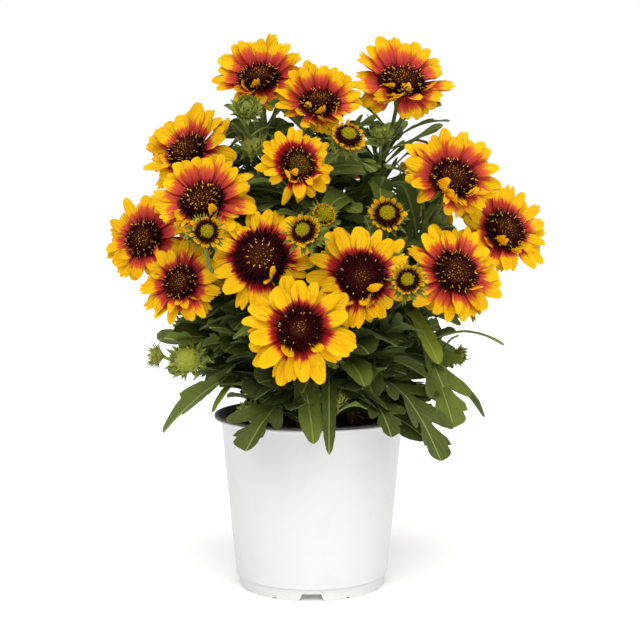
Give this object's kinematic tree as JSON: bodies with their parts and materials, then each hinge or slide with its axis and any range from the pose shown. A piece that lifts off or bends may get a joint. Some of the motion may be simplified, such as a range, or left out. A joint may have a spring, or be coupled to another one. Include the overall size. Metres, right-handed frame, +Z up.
{
  "type": "blanket flower plant in a nursery pot",
  "caption": "Bushy blanket flower plant in full bloom, red and yellow, with buds and lobed leaves, in a plain white round nursery pot.",
  "frame": {"origin": "on the pot's axis, in the plane that the pot stands on", "axes": "+Z up along the pot's axis, -Y towards the front, where most blooms face, +X to the right as seen from the front"},
  "size_m": [0.3675, 0.2987, 0.4582],
  "materials": {
    "pot": "plain white moulded plastic, satin, with a dark grey rim and inside",
    "soil": "damp peat and bark potting mix, rough, black-brown with tan crumbs",
    "green": "soft hairy leaves, stems and sepals, matt, with a paler midrib",
    "rays": "soft matt petals, golden yellow with a red to crimson base",
    "disc": "dark maroon-brown fuzzy florets with yellow pollen",
    "button": "yellow-green closed florets with a maroon edge and short yellow young petals"
  },
  "bodies": {
    "root": {"pot": "pot", "soil": "soil", "shoot_01": "green", "shoot_02": "green", "shoot_03": "green", "shoot_04": "green", "shoot_05": "green", "shoot_06": "green", "shoot_07": "green", "shoot_08": "green", "shoot_09": "green", "shoot_10": "green", "shoot_11": "green", "rays_01": "rays", "rays_02": "rays", "rays_03": "rays", "rays_04": "rays", "rays_05": "rays", "rays_06": "rays", "rays_07": "rays", "rays_08": "rays", "rays_09": "rays", "rays_10": "rays", "rays_11": "rays", "rays_12": "rays", "rays_13": "rays", "rays_14": "rays", "rays_15": "rays", "rays_16": "rays", "rays_17": "rays", "rays_18": "rays", "rays_19": "rays", "rays_20": "rays", "disc_01": "disc", "disc_02": "disc", "disc_03": "disc", "disc_04": "disc", "disc_05": "disc", "disc_06": "disc", "disc_07": "disc", "disc_08": "disc", "disc_09": "disc", "disc_10": "disc", "disc_11": "disc", "disc_12": "disc", "disc_13": "disc", "disc_14": "disc", "disc_15": "disc", "disc_16": "disc", "disc_17": "disc", "disc_18": "disc", "disc_19": "disc", "disc_20": "disc", "button_21": "button", "button_22": "button", "button_23": "button", "button_24": "button", "button_25": "button", "button_26": "button", "button_27": "button"}
  },
  "joints": []
}
